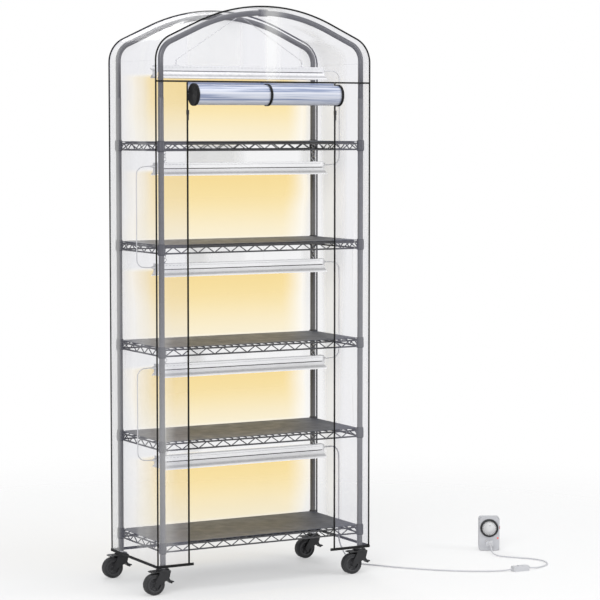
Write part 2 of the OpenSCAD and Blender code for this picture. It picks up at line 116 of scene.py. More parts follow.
def make_camera():
    """A long lens on the rack's left front, a little above its middle."""
    data = bpy.data.cameras.new("camera")
    data.lens = 137.073
    data.sensor_width = 36
    data.clip_end = 100
    camera = bpy.data.objects.new("camera", data)
    camera.location = (-3.45252, -6.65655, 1.48588)
    camera.rotation_euler = (math.radians(85.6433), 0, math.radians(-28.912))
    scene.collection.objects.link(camera)
    scene.camera = camera


make_camera()


# ---------- Nodes of a material ----------

class Shader:
    """A material with one Principled shader, and short ways to add nodes to it."""

    def __init__(self, name, **sockets):
        self.material = bpy.data.materials.new(name)
        self.material.use_nodes = True
        self.tree = self.material.node_tree
        self.shader = self.tree.nodes["Principled BSDF"]
        for key, value in sockets.items():
            self.set(key.replace("_", " "), value)
        self.place = self.add("ShaderNodeTexCoord").outputs["Object"]

    def feed(self, socket, value):
        """Links an output to the socket, or sets the socket's own value."""
        if isinstance(value, bpy.types.NodeSocket):
            self.tree.links.new(value, socket)
        else:
            socket.default_value = value

    def set(self, socket, value):
        self.feed(self.shader.inputs[socket], value)

    def add(self, kind, inputs=(), **settings):
        node = self.tree.nodes.new(kind)
        for key, value in settings.items():
            setattr(node, key, value)
        for key, value in dict(inputs).items():
            self.feed(node.inputs[key], value)
        return node

    def math(self, operation, a, b=0.0, clamp=False):
        node = self.add("ShaderNodeMath", {0: a, 1: b}, operation=operation, use_clamp=clamp)
        return node.outputs[0]

    def total(self, values):
        """The sum of the values, held at 1."""
        result = values[0]
        for value in values[1:]:
            result = self.math("ADD", result, value, clamp=True)
        return result

    def axes(self):
        """The X, Y and Z of the shaded point, in the object's own frame."""
        return self.add("ShaderNodeSeparateXYZ", {"Vector": self.place}).outputs

    def wave(self, value, pitch):
        """A sine from -1 to 1 that repeats each time the value grows by pitch."""
        return self.math("SINE", self.math("MULTIPLY", value, 2 * math.pi / pitch))

    def stretched(self, scale, turn=(0, 0, 0)):
        inputs = {"Vector": self.place, "Scale": scale, "Rotation": turn}
        return self.add("ShaderNodeMapping", inputs).outputs[0]

    def noise(self, scale, detail=3.0, where=None, rough=0.5):
        inputs = {"Vector": where or self.place, "Scale": scale, "Detail": detail,
                  "Roughness": rough}
        return self.add("ShaderNodeTexNoise", inputs).outputs["Fac"]

    def span(self, value, low, high, to_low=0.0, to_high=1.0, smooth=False):
        inputs = {"Value": value, "From Min": low, "From Max": high, "To Min": to_low,
                  "To Max": to_high}
        kind = "SMOOTHSTEP" if smooth else "LINEAR"
        return self.add("ShaderNodeMapRange", inputs, interpolation_type=kind).outputs[0]

    def blend(self, amount, first, second):
        """Mixes two colours. Sockets 6 and 7 are the mix node's colours, output 2 its result."""
        node = self.add("ShaderNodeMix", {0: amount}, data_type="RGBA")
        for index, colour in ((6, first), (7, second)):
            linked = isinstance(colour, bpy.types.NodeSocket)
            self.feed(node.inputs[index], colour if linked else (*colour, 1))
        return node.outputs[2]

    def roughen(self, scale, detail, low, high):
        """Roughness that wanders between low and high."""
        self.set("Roughness", self.span(self.noise(scale, detail), 0.3, 0.7, low, high))

    def bump(self, height, strength, distance):
        inputs = {"Height": height, "Strength": strength, "Distance": distance}
        self.set("Normal", self.add("ShaderNodeBump", inputs).outputs[0])


def tone(colour, factor):
    """The colour made lighter or darker."""
    return tuple(min(1.0, c * factor) for c in colour)


# ---------- Materials ----------

def powder_coat(name, colour, rough, rings=0.0):
    """Grey powder coat; rings is the spacing of thin dark lines painted on a post as the shade in
    its grooves.
    """
    s = Shader(name, Metallic=0.2)
    patches = s.span(s.noise(7.0, 4.0), 0.35, 0.7)
    coat_colour = s.blend(patches, tone(colour, 0.92), tone(colour, 1.1))
    if rings:
        # painted shade: a thin dark line at each ring along the post, for the shade in its
        # grooves
        groove = s.span(s.wave(s.axes()[2], rings), 0.93, 1.0, 0.0, 0.22)
        coat_colour = s.blend(groove, coat_colour, tone(colour, 0.4))
    s.set("Base Color", coat_colour)
    s.roughen(60.0, 3.0, rough - 0.05, rough + 0.08)
    s.bump(s.noise(900.0, 2.0), 0.25, 0.0002)
    return s.material


def moulded(name, colour, rough=0.42):
    """Moulded plastic with a fine grain."""
    s = Shader(name)
    patches = s.span(s.noise(20.0), 0.3, 0.7)
    s.set("Base Color", s.blend(patches, tone(colour, 0.93), tone(colour, 1.06)))
    s.roughen(130.0, 4.0, rough - 0.06, rough + 0.08)
    s.bump(s.noise(700.0, 2.0), 0.25, 0.0002)
    return s.material


def rubber(name, colour):
    s = Shader(name, Specular_IOR_Level=0.35)
    patches = s.span(s.noise(45.0, 5.0), 0.35, 0.75)
    s.set("Base Color", s.blend(patches, colour, tone(colour, 1.7)))
    s.roughen(300.0, 3.0, 0.5, 0.68)
    s.bump(s.noise(1500.0), 0.3, 0.0002)
    return s.material


def zinc(name):
    s = Shader(name, Metallic=1.0)
    s.set("Base Color", s.blend(s.noise(160.0, 2.0), (0.62, 0.63, 0.66), (0.8, 0.8, 0.82)))
    s.roughen(90.0, 4.0, 0.18, 0.34)
    s.bump(s.noise(700.0), 0.12, 0.0001)
    return s.material


def embossed_mat(name):
    """Dark plastic mat with a fine embossed net of cells."""
    s = Shader(name)
    cells = s.add("ShaderNodeTexVoronoi", {"Vector": s.place, "Scale": 420.0},
                  feature="DISTANCE_TO_EDGE")
    patches = s.span(s.noise(11.0, 5.0), 0.3, 0.75)
    s.set("Base Color", s.blend(patches, (0.050, 0.055, 0.074), (0.078, 0.085, 0.110)))
    s.roughen(25.0, 4.0, 0.4, 0.56)
    s.bump(s.span(cells.outputs["Distance"], 0.0, 0.25), 0.45, 0.0003)
    return s.material


def woven(name, colour, pitch=0.0011):
    """Woven binding: threads across and along, pitch apart, with a little fuzz."""
    s = Shader(name, Sheen_Weight=0.06, Specular_IOR_Level=0.3)
    x, y, z = s.axes()
    weave = s.math("MULTIPLY", s.wave(z, pitch), s.wave(s.math("ADD", x, y), pitch))
    s.set("Base Color", s.blend(s.span(weave, -1.0, 1.0), tone(colour, 0.7), tone(colour, 1.6)))
    s.roughen(200.0, 3.0, 0.6, 0.85)
    s.bump(weave, 0.5, 0.0002)
    return s.material


def enamel(name, painted_glow):
    """Gloss white enamel with a painted shade band where the wings are rolled inwards, and a
    painted glow of the given strength in the same colour.
    """
    colour = (0.95, 0.95, 0.96)
    s = Shader(name, Coat_Weight=0.4, Coat_Roughness=0.12, Emission_Strength=painted_glow)
    across = s.math("ABSOLUTE", s.axes()[1])
    start = s.span(across, 0.024, 0.031, smooth=True)
    end = s.span(across, 0.0365, 0.0385, 1.0, 0.0, smooth=True)
    plain = s.blend(s.span(s.noise(9.0, 3.0), 0.3, 0.7), tone(colour, 0.97), colour)
    # painted shade: a darker band where the wings are rolled inwards
    shade = s.blend(s.math("MULTIPLY", start, end), plain, tone(colour, 0.6))
    s.set("Base Color", shade)
    # painted glow: the housing gives out its own colour as light
    s.set("Emission Color", shade)
    s.roughen(80.0, 3.0, 0.22, 0.34)
    s.bump(s.noise(26.0, 2.0, s.stretched((0.3, 1, 1))), 0.08, 0.0008)
    return s.material


def lit_lens(name):
    """The warm, ribbed lens of a light that is on."""
    s = Shader(name, Roughness=0.3, Emission_Strength=1.5)
    x, y, _ = s.axes()
    spots = s.span(s.wave(x, 0.012), -1.0, 1.0)
    warm = s.blend(spots, (1.0, 0.76, 0.36), (1.0, 0.9, 0.62))
    s.set("Base Color", warm)
    s.set("Emission Color", warm)
    s.bump(s.wave(y, 0.002), 0.3, 0.0003)
    return s.material


def painted_highlights(s):
    """Painted highlights: soft slanting bands where the flat film would catch the light, and a
    few thin lines.
    """
    lean = (0, math.radians(30), 0)
    broad = s.noise(1.0, 1.0, s.stretched((5.5, 5.5, 0.25), lean))
    fine = s.noise(1.0, 2.0, s.stretched((60.0, 40.0, 0.6), lean))
    gate = s.span(s.noise(2.2, 1.0), 0.48, 0.6, smooth=True)
    bands = s.span(broad, 0.52, 0.68, 0.0, 0.30, smooth=True)
    lines = s.math("MULTIPLY", s.span(fine, 0.66, 0.74, 0.0, 0.3, smooth=True), gate)
    return s.math("ADD", bands, lines, clamp=True)


def clear_film(name, glow=False):
    """Clear film with a faint lavender tint; the rear one has the lights' warm glow painted on it
    as a warm emission behind each tier.
    """
    haze = 0.12
    s = Shader(name, Roughness=0.16, Specular_IOR_Level=0.6)
    highlight = painted_highlights(s)
    tint = s.blend(s.noise(1.6, 2.0), (0.42, 0.42, 0.57), (0.52, 0.52, 0.65))
    # the painted highlights whiten the film and make it less clear
    colour = s.blend(s.span(highlight, 0.0, 0.2), tint, (1.0, 1.0, 1.0))
    cover = s.math("ADD", highlight, haze)
    if glow:
        # painted glow: behind each tier the film is darkened and given a warm emission, hotter
        # near its light
        warm, near = painted_glow_mask(s)
        hot = s.blend(near, (0.86, 0.71, 0.36), (0.86, 0.63, 0.19))
        lit = s.span(warm, 0.0, 0.25)
        colour = s.blend(lit, colour, (0.10, 0.09, 0.05))
        cover = s.math("MAXIMUM", cover, s.math("MULTIPLY", warm, 0.86))
        s.set("Emission Color", s.blend(lit, (0, 0, 0), hot))
        s.set("Emission Strength", 1.0)
    s.set("Base Color", colour)
    s.set("Alpha", cover)
    s.bump(s.noise(5.0, 3.0, s.stretched((1, 1, 0.35))), 0.35, 0.004)
    s.material.surface_render_method = "BLENDED"
    return s.material


def painted_glow_mask(s):
    """The painted glow: how strongly the film behind each tier is painted as lit by its light,
    and how near that light is.
    """
    x, _, z = s.axes()
    across = s.math("ADD", x, s.span(s.noise(3.0, 2.0), 0.3, 0.7, -0.02, 0.02))
    left = s.span(across, -0.365, -0.19, 0.0, 1.0, smooth=True)
    right = s.span(across, 0.25, 0.38, 1.0, 0.0, smooth=True)
    masks = []
    heights = []
    for low, shelf in zip(LAMP_LOW, SHELF_TOP):
        under_light = s.span(z, low + 0.002, low + 0.022, 1.0, 0.0, smooth=True)
        over_shelf = s.span(z, shelf - 0.02, shelf + 0.005, 0.0, 1.0)
        inside = s.math("MULTIPLY", under_light, over_shelf)
        fading = s.span(z, shelf - 0.03, low - 0.06, 0.62, 1.0, smooth=True)
        masks.append(s.math("MULTIPLY", inside, fading))
        heights.append(s.math("MULTIPLY", inside, s.span(z, shelf, low - 0.02)))
    side = s.math("MULTIPLY", left, right)
    return s.math("MULTIPLY", s.total(masks), side), s.total(heights)


def rolled_film(name):
    """Many turns of clear film: light bluish grey, with lengthwise darker and lighter bands."""
    s = Shader(name, Roughness=0.16, Specular_IOR_Level=0.6, Coat_Weight=0.35,
               Coat_Roughness=0.1)
    broad = s.noise(1.0, 3.0, s.stretched((0.9, 62.0, 62.0)), 0.55)
    fine = s.noise(1.0, 2.0, s.stretched((7.0, 240.0, 240.0)))
    bands = s.math("ADD", s.math("MULTIPLY", broad, 0.8), s.math("MULTIPLY", fine, 0.2))
    mix = s.span(bands, 0.41, 0.6, smooth=True)
    ramp = s.add("ShaderNodeValToRGB", {"Fac": mix})
    stops = ramp.color_ramp.elements
    stops[0].color = (0.22, 0.27, 0.43, 1)
    stops[1].color = (0.80, 0.82, 0.90, 1)
    middle = stops.new(0.42)
    middle.color = (0.60, 0.64, 0.76, 1)
    s.set("Base Color", ramp.outputs[0])
    s.set("Alpha", s.span(mix, 0.0, 1.0, 0.97, 0.9))
    s.bump(broad, 0.3, 0.003)
    return s.material


def soft_vinyl(name, colour):
    s = Shader(name, Specular_IOR_Level=0.5)
    s.set("Base Color", s.blend(s.noise(30.0), tone(colour, 0.94), tone(colour, 1.03)))
    s.roughen(120.0, 3.0, 0.38, 0.52)
    s.bump(s.noise(500.0), 0.15, 0.0002)
    return s.material


def glowing_red(name):
    s = Shader(name, Roughness=0.2, Emission_Strength=0.45)
    red = s.blend(s.noise(400.0), (0.8, 0.01, 0.006), (1.0, 0.05, 0.03))
    s.set("Base Color", red)
    s.set("Emission Color", red)
    return s.material


def pale_floor(name):
    """A matt white floor that thins out towards the white studio wall."""
    s = Shader(name, Roughness=0.7, Specular_IOR_Level=0.2)
    s.set("Base Color", s.blend(s.noise(0.6), (0.955, 0.955, 0.96), (0.965, 0.965, 0.965)))
    distance = s.add("ShaderNodeVectorMath", {0: s.place}, operation="LENGTH").outputs["Value"]
    s.set("Alpha", s.span(distance, 0.9, 3.0, 0.6, 0.0, smooth=True))
    return s.material


M = {
    "post": powder_coat("post_coat", (0.162, 0.162, 0.165), 0.36, 0.025),
    "hoop": powder_coat("hoop_coat", (0.152, 0.152, 0.155), 0.34),
    "wire": powder_coat("wire_coat", (0.070, 0.070, 0.075), 0.38),
    "mat": embossed_mat("shelf_mat"),
    "sleeve": moulded("sleeve_plastic", (0.02, 0.02, 0.022)),
    "castor": moulded("castor_plastic", (0.020, 0.020, 0.022), 0.38),
    "hub": moulded("hub_plastic", (0.058, 0.058, 0.062), 0.34),
    "tread": rubber("tread_rubber", (0.036, 0.036, 0.038)),
    "zinc": zinc("bright_zinc"),
    "plated": zinc("plated_pins"),
    # the enamel in two copies: a strong painted glow for the lower housings, a faint one for the
    # highest
    "enamel": enamel("white_enamel_painted_glow", 0.36),
    "enamel_faint_painted_glow": enamel("high_enamel_faint_painted_glow", 0.06),
    # a dark strip painted as the shade in the gap over each light's wing
    "gap_shade": rubber("lamp_gap_shade", (0.035, 0.035, 0.037)),
    # grey dashes painted as the shade inside the vents
    "vent": moulded("vent_shade", (0.66, 0.66, 0.66), 0.5),
    "cap": moulded("white_caps", (0.90, 0.90, 0.91), 0.35),
    "lens": lit_lens("lit_lens"),
    "cable": soft_vinyl("cable_vinyl", (0.80, 0.80, 0.82)),
    "cord": soft_vinyl("cord_vinyl", (0.66, 0.66, 0.69)),
    "white": moulded("white_plastic", (0.66, 0.665, 0.69), 0.34),
    "timer": moulded("timer_plastic", (0.62, 0.625, 0.655), 0.4),
    "ring": moulded("dial_ring", (0.028, 0.028, 0.031), 0.36),
    "face": moulded("dial_face", (0.78, 0.78, 0.79), 0.45),
    "ink": moulded("dial_marks", (0.03, 0.03, 0.03), 0.6),
    "red": moulded("red_plastic", (0.62, 0.03, 0.02), 0.25),
    "signal": glowing_red("signal_red"),
    "film": clear_film("clear_film"),
    "film_rear": clear_film("rear_film", glow=True),
    "rolled": rolled_film("rolled_film"),
    "binding": woven("black_binding", (0.0045, 0.0045, 0.005)),
    "zip": woven("zip_tape", (0.006, 0.006, 0.0065), 0.0008),
    "zip_metal": moulded("zip_metal", (0.03, 0.03, 0.034), 0.3),
}


# ---------- Making pieces ----------

def piece(name, verts, faces, material, body="root", slot=None, instead=(), smooth=True):
    """A mesh of one material that rides on a body, in place of the CAD nodes in instead."""
    mesh = bpy.data.meshes.new(name)
    mesh.from_pydata([tuple(v) for v in verts], [], faces)
    mesh.validate()
    if smooth:
        mesh.shade_smooth()
    obj = bpy.data.objects.new(name, mesh)
    scene.collection.objects.link(obj)
    mesh.materials.append(material)
    return settle(obj, body, instead)


def settle(obj, body, instead):
    """Ties a piece to its body and hides the CAD nodes that it replaces."""
    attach(obj, body)
    if instead:
        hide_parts(*instead)
    return obj


class Builder:
    """Collects vertices and faces of one piece."""

    def __init__(self):
        self.verts = []
        self.faces = []

    def put(self, verts, faces):
        start = len(self.verts)
        self.verts += [Vector(v) for v in verts]
        self.faces += [[start + i for i in f] for f in faces]

    def box(self, low, high, at=None):
        """A box from corner low to corner high, in the frame at."""
        corners = [Vector((x, y, z)) for x in (low[0], high[0]) for y in (low[1], high[1])
                   for z in (low[2], high[2])]
        if at is not None:
            corners = [at @ c for c in corners]
        self.put(corners, [(0, 1, 3, 2), (4, 6, 7, 5), (0, 4, 5, 1), (2, 3, 7, 6), (0, 2, 6, 4),
                           (1, 5, 7, 3)])

    def lathe(self, profile, turns, at, closed=True):
        """profile is (radius, height) pairs, turned round the Z of the frame at."""
        count = len(profile)
        verts = []
        for k in range(turns):
            a = 2 * math.pi * k / turns
            verts += [at @ Vector((r * math.cos(a), r * math.sin(a), h)) for r, h in profile]
        rows = count if closed else count - 1
        faces = [
            (k * count + i, ((k + 1) % turns) * count + i,
             ((k + 1) % turns) * count + (i + 1) % count, k * count + (i + 1) % count)
            for k in range(turns) for i in range(rows)
        ]
        self.put(verts, faces)

    def tube(self, path, radius, sides):
        """A round tube along the path with closed ends, carried along without twisting."""
        path = [Vector(p) for p in path]
        ahead = (path[1] - path[0]).normalized()
        side = ahead.orthogonal().normalized()
        verts = []
        for i, p in enumerate(path):
            following = path[min(i + 1, len(path) - 1)] - path[max(i - 1, 0)]
            turn = ahead.rotation_difference(following.normalized())
            side = (turn @ side).normalized()
            ahead = following.normalized()
            up = ahead.cross(side)
            verts += [p + radius * (side * math.cos(a) + up * math.sin(a))
                      for a in (2 * math.pi * k / sides for k in range(sides))]
        faces = [
            (i * sides + k, i * sides + (k + 1) % sides, (i + 1) * sides + (k + 1) % sides,
             (i + 1) * sides + k)
            for i in range(len(path) - 1) for k in range(sides)
        ]
        last = (len(path) - 1) * sides
        faces += [tuple(range(sides - 1, -1, -1)), tuple(range(last, last + sides))]
        self.put(verts, faces)

    def grid(self, columns):
        """A sheet from columns of points, all of one length."""
        rows = len(columns[0])
        faces = [
            (i * rows + j, (i + 1) * rows + j, (i + 1) * rows + j + 1, i * rows + j + 1)
            for i in range(len(columns) - 1) for j in range(rows - 1)
        ]
        self.put([p for column in columns for p in column], faces)

    def finish(self, name, material, **how):
        return piece(name, self.verts, self.faces, material, **how)


def round_edges(obj, width):
    """Rounds the sharp edges in the object's look, and evens the shading beside them."""
    bevel = obj.modifiers.new("edges", "BEVEL")
    bevel.width = width
    bevel.segments = 2
    bevel.limit_method = "ANGLE"
    bevel.angle_limit = math.radians(32)
    even = obj.modifiers.new("normals", "WEIGHTED_NORMAL")
    even.weight = 90


def refined(node, material, body="root", width=0.0006):
    """The CAD node's own shape with its edges rounded."""
    mesh = NODES[node].data.copy()
    mesh.materials.clear()
    mesh.materials.append(material)
    bm = bmesh.new()
    bm.from_mesh(mesh)
    bmesh.ops.remove_doubles(bm, verts=bm.verts, dist=1e-6)
    bmesh.ops.dissolve_limit(bm, angle_limit=math.radians(1), verts=bm.verts, edges=bm.edges)
    bm.to_mesh(mesh)
    bm.free()
    mesh.shade_smooth()
    obj = bpy.data.objects.new(node + "_shaped", mesh)
    scene.collection.objects.link(obj)
    round_edges(obj, width)
    return settle(obj, body, [node])


def coat(material, *nodes):
    """Gives CAD nodes that stay in view their material."""
    for name in nodes:
        mesh = NODES[name].data
        mesh.materials.clear()
        mesh.materials.append(material)


def steps(low, high, count):
    """count + 1 even values from low to high."""
    return [low + (high - low) * k / count for k in range(count + 1)]


def mirrored(s, near, far):
    """The two distances measured on side s of the middle, the lower value first."""
    return sorted((s * near, s * far))


def smooth_path(points, parts):
    """The same smooth curve through the points as the CAD's."""
    p = [Vector(q) for q in points]
    out = []
    for i in range(len(p) - 1):
        a, b, c, d = p[max(i - 1, 0)], p[i], p[i + 1], p[min(i + 2, len(p) - 1)]
        for j in range(parts):
            t = j / parts
            out.append(0.5 * (2 * b + (c - a) * t + (2 * a - 5 * b + 4 * c - d) * t * t
                              + (3 * b - a - 3 * c + d) * t ** 3))
    return out + [p[-1]]


def cord_curve(name, path, diameter, material, instead):
    """A round cord along the path."""
    data = bpy.data.curves.new(name, "CURVE")
    data.dimensions = "3D"
    data.bevel_depth = diameter / 2
    data.bevel_resolution = 4
    data.use_fill_caps = True
    spline = data.splines.new("POLY")
    spline.points.add(len(path) - 1)
    for point, p in zip(spline.points, path):
        point.co = (*p, 1)
    spline.use_smooth = True
    data.materials.append(material)
    obj = bpy.data.objects.new(name, data)
    scene.collection.objects.link(obj)
    return settle(obj, "root", instead)


# ---------- Cords ----------

# The power cord's route in mm: the light's outlet, the drop, the floor, the switch, the plug
CORD_ROUTE = [
    (323, 0, 406.5), (336, 0, 406.5), (352, 0, 405), (366, 0, 396), (373, 0, 378),
    (374, 0, 350), (374, 0, 270), (374, 0, 190), (374, 0, 120), (375, 0, 90),
    (381, -2, 66), (392, -7, 40), (408, -18, 15), (434, -42, 4), (470, -90, 3),
    (525, -170, 3), (600, -255, 3), (690, -330, 3), (775, -376, 4), (818, -390, 8),
    (850, -392, 8.5), (882, -394, 8), (925, -390, 4), (985, -355, 3), (1010, -300, 3),
    (995, -245, 3), (955, -195, 3), (925, -150, 4), (920, -122, 11), (930, -98, 22),
    (937, -82, 27), (943, -71, 28),
]
CORD_D = 0.005
LINK_D = 0.0032


def make_power_cord():
    """The power cord from the lowest light, with its switch and its plug."""
    on_cord = [
        refined("switch_body", M["white"], width=0.0012),
        refined("switch_rocker", M["white"], "rocker", 0.0006),
        refined("plug", M["white"], width=0.0010),
    ]
    path = smooth_path([Vector(p) / 1000 for p in CORD_ROUTE], 6)
    power = cord_curve("power_lead", path, CORD_D, M["cord"], ["power_cord"])


def make_link_cables():
    """Cables from light to light, on the left and on the right by turns."""
    bend = [(OUTLET_X, 0), (OUTLET_X + 0.014, 0), (CABLE_X - 0.016, 0.003),
            (CABLE_X - 0.004, 0.014), (CABLE_X, 0.034)]
    for i in range(4):
        s = -1 if i % 2 == 0 else 1
        high = LAMP_TOP[i + 1] - OUTLET_DROP
        low = LAMP_TOP[i] - OUTLET_DROP
        route = [
            *[(x, high - drop) for x, drop in bend],
            (CABLE_X, (high + low) / 2),
            *[(x, low + rise) for x, rise in reversed(bend)],
        ]
        path = smooth_path([(s * x, 0, z) for x, z in route], 6)
        cable = cord_curve(f"link_cable_{i + 1}", path, LINK_D, M["cable"],
                           ["link_cables"])


make_power_cord()
make_link_cables()


# ---------- Frame ----------

def polar(c, r, a):
    """The point at distance r and angle a from c."""
    return Vector((c.x + r * math.cos(a), c.y + r * math.sin(a)))


def over_top(side, roof, finer=1):
    """(x, z) over the top from right to left, side and roof outside the hoop's centreline."""
    half = SPAN_X / 2 + side
    bend = BEND_R + side
    radius = ARCH_R + roof
    turn = math.pi / 2 - SLOPE
    arch = Vector((0, APEX - ARCH_R))
    start = polar(arch, radius, turn)
    corner = start.y - (half - start.x) * math.tan(SLOPE)
    bend_at = Vector((half - bend, corner - bend * math.tan(math.pi / 4 - SLOPE / 2)))
    bend_count = 8 * finer
    arch_count = 16 * finer
    shoulder = [polar(bend_at, bend, turn * k / bend_count) for k in range(bend_count + 1)]
    top = [polar(arch, radius, turn + 2 * SLOPE * k / arch_count)
           for k in range(arch_count + 1)]
    return shoulder + top + [Vector((-p.x, p.y)) for p in reversed(shoulder)]


def make_hoops():
    """Round bent tubes on the posts' tops, with a spigot and a plastic shoulder ring each."""
    sides = 28
    spigot_r = 0.0079
    spigot_deep = 0.044
    core_r = 0.002
    ring_foot = HOOP_R - 0.001
    ring = [(ring_foot, 0.0002), (0.0089, 0.0004), (0.0090, 0.0012), (0.0087, 0.0020),
            (ring_foot, 0.0022)]
    top = over_top(0, 0, 2)
    for name, y in (("hoop_front", -SPAN_Y / 2), ("hoop_rear", SPAN_Y / 2)):
        path = [Vector((SPAN_X / 2, POST_TOP)), *top, Vector((-SPAN_X / 2, POST_TOP))]
        build = Builder()
        build.tube([(p.x, y, p.y) for p in path], HOOP_R, sides)
        for s in (-1, 1):
            post_at = Matrix.Translation((s * SPAN_X / 2, y, POST_TOP))
            build.lathe([(core_r, -spigot_deep), (spigot_r, -spigot_deep), (spigot_r, 0.0),
                         (core_r, 0.0)], sides, post_at)
            build.lathe(ring, sides, post_at)
        build.finish(name + "_tube", M["hoop"], slot="hoop_coat", instead=[name])


make_hoops()
coat(M["post"], *["post_" + c for c in CORNERS])
coat(M["wire"], *[f"shelf_{i}" for i in TIERS])
coat(M["hoop"], "ridge_tube")
coat(M["sleeve"], "collar_sleeves")
coat(M["zinc"], "castor_stems", "lamp_hangers")
coat(M["plated"], "timer_pins")
refined("shelf_mats", M["mat"], width=0.0007)


# ---------- Castors ----------

def arc_points(cx, cy, r, start, end, count):
    """Points of an arc from angle start to angle end, in degrees."""
    angles = [math.radians(a) for a in steps(start, end, count)]
    return [(cx + r * math.cos(a), cy + r * math.sin(a)) for a in angles]


def make_tread(corner, half, wheel_at):
    """The tyre, with rounded shoulders and a thin groove in each side."""
    soft = 0.0035
    groove_r = 0.0284
    groove_deep = 0.0013
    shoulder = (arc_points(WHEEL_R - soft, half - soft, soft, 90, 0, 5)
                + arc_points(WHEEL_R - soft, soft - half, soft, 0, -90, 5))
    side = [(HUB_R + 0.0001, half - 0.0008), (HUB_R + 0.0008, half), (groove_r, half),
            (groove_r + 0.0003, half - groove_deep), (groove_r + 0.0010, half - groove_deep),
            (groove_r + 0.0013, half)]
    tread = Builder()
    tread.lathe([*side, *shoulder, *[(r, -h) for r, h in reversed(side)]], 72, wheel_at)
    tread.finish(f"tread_{corner}", M["tread"], body="wheel_" + corner, slot="tread",
                 instead=["tyre_" + corner])


def make_hub(corner, half, wheel_at):
    """The wheel's centre: a boss round the axle, a thin web with six spokes, and a rim."""
    bore_r = 0.0041
    web_half = 0.0052
    spoke_from = 0.0085
    spoke_to = 0.0200
    spoke_half = 0.0012
    spoke_depth = (0.0045, 0.0095)
    face = half - 0.001
    boss = [(bore_r, 0.0140), (0.0078, 0.0143), (0.0088, 0.0135), (0.0094, 0.0062)]
    rim = [(0.0176, web_half), (0.0192, 0.0066), (0.0204, face - 0.0006), (0.0212, face),
           (HUB_R - 0.0008, face), (HUB_R, face - 0.0006)]
    side = boss + rim
    hub = Builder()
    hub.lathe(side + [(r, -h) for r, h in reversed(side)], 64, wheel_at)
    for k in range(6):
        turn = Matrix.Rotation(2 * math.pi * k / 6, 4, "Z")
        for s in (-1, 1):
            inner, outer = mirrored(s, *spoke_depth)
            hub.box((spoke_from, -spoke_half, inner), (spoke_to, spoke_half, outer),
                    wheel_at @ turn)
    wheel = hub.finish(f"wheel_centre_{corner}", M["hub"], body="wheel_" + corner,
                       slot="hub_plastic", instead=["hub_" + corner])
    round_edges(wheel, 0.0005)


def make_castor(corner):
    low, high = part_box("tyre_" + corner)
    half = (high.y - low.y) / 2
    wheel_at = Matrix.Translation((low + high) / 2) @ Matrix.Rotation(-math.pi / 2, 4, "X")
    make_tread(corner, half, wheel_at)
    make_hub(corner, half, wheel_at)
    refined("fork_" + corner, M["castor"], "castor_" + corner, 0.0012)
    refined("brake_" + corner, M["castor"], "pedal_" + corner, 0.0007)


for corner in CORNERS:
    make_castor(corner)


# ---------- Lights ----------

def make_housings():
    """Housings, lenses and end caps. The lower housings get a stronger painted glow than the
    highest, which the top soft box already lights well.
    """
    for i in TIERS:
        # the lower housings take the copy with the stronger painted glow
        white = M["enamel_faint_painted_glow"] if i == 5 else M["enamel"]
        refined(f"lamp_{i}", white, width=0.0004)
    refined("lamp_diffusers", M["lens"], width=0.0008)
    refined("lamp_end_caps", M["cap"], width=0.0008)


def make_lamp_lines():
    """A dark strip over each wing and a row of grey dashes near the top, on both sides: painted
    shade in the gap above the wing and inside the vents.
    """
    half = LAMP_HALF - 0.002
    gap_shade_y = (0.0138, 0.0148)
    gap_shade_low = 0.0197
    gap_shade_high = 0.0172
    vent_y = (0.0139, 0.01412)
    vent_low = 0.0064
    vent_high = 0.0052
    vent_half = 0.0038
    vent_row = [0.0125 * k for k in range(-23, 24)]
    gap_shade = Builder()
    vents = Builder()
    for top in LAMP_TOP:
        for s in (-1, 1):
            # painted shade: a dark strip in the gap between the top channel and the wing
            near, far = mirrored(s, *gap_shade_y)
            gap_shade.box((-half, near, top - gap_shade_low), (half, far, top - gap_shade_high))
            # painted shade: a grey dash inside each vent
            near, far = mirrored(s, *vent_y)
            for x in vent_row:
                vents.box((x - vent_half, near, top - vent_low),
                          (x + vent_half, far, top - vent_high))
    gap_shade.finish("lamp_gap_shades", M["gap_shade"], slot="sleeve")
    vents.finish("lamp_vents", M["vent"], slot="lamp_white")


make_housings()
make_lamp_lines()


# ---------- Cover ----------

def ripple(p, size):
    """A soft, still unevenness of the film, in metres, with waves of about the given size."""
    return RIPPLE * noise.noise(Vector((p[0], p[1], p[2])) / size)


def fade(t):
    """0 at both edges of a panel and 1 in its middle."""
    return min(1.0, 6 * t * (1 - t))


def film(name, sheets, material, node):
    """One panel of the cover, made of one or more sheets of film."""
    build = Builder()
    for columns in sheets:
        build.grid(columns)
    obj = build.finish(name, material, slot="film", instead=[node])


def side_panel(s, top_z):
    """Columns of the left or right panel, from the front edge to the rear one."""
    across = 16
    up = 60
    columns = []
    for a, y in enumerate(steps(-HALF_Y, HALF_Y, across)):
        column = []
        for b, z in enumerate(steps(HEM_Z, top_z, up)):
            lift = fade(a / across) * fade(b / up) * ripple((s, y, z), 0.17)
            column.append(Vector((s * (SIDE_X + lift), y, z)))
        columns.append(column)
    return columns


def roof_panel(path):
    """Columns of the roof along the path, which sags a little between the hoops."""
    sag = 0.004
    across = 14
    columns = []
    for p in path:
        column = []
        for k, y in enumerate(steps(-HALF_Y, HALF_Y, across)):
            share = 0.5 + 0.5 * noise.noise(Vector((p.x, y, 3)) / 0.15)
            column.append(Vector((p.x, y, p.y - sag * fade(k / across) * share)))
        columns.append(column)
    return columns


